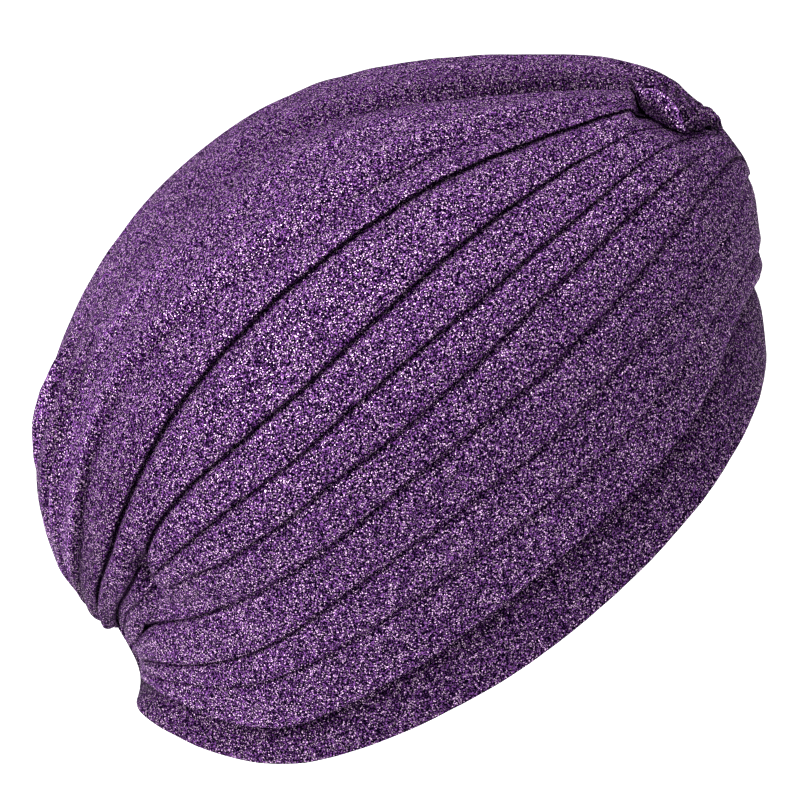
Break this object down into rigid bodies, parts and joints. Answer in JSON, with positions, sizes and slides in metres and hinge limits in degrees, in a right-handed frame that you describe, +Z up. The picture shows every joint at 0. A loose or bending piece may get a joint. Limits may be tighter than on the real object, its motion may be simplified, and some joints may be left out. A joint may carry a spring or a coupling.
{
  "type": "turban hat",
  "caption": "Pleated stretch-knit turban hat, its folds gathered in a small ruched knot above the forehead and in a seam at the nape, with a plain head band.",
  "frame": {"origin": "the seat of the head: the inside of the crown where it bears on the top of the head", "axes": "+Z up, the wearer faces -Y, +X is the wearer's left"},
  "size_m": [0.1626, 0.2102, 0.1778],
  "materials": {
    "crown_knit": "dark purple knit with glittering lurex yarn",
    "band_knit": "dark purple knit with glittering lurex yarn",
    "knot_knit": "dark purple knit with glittering lurex yarn, ruched"
  },
  "bodies": {
    "root": {"pleated_crown": "crown_knit", "head_band": "band_knit", "front_knot": "knot_knit"}
  },
  "joints": []
}
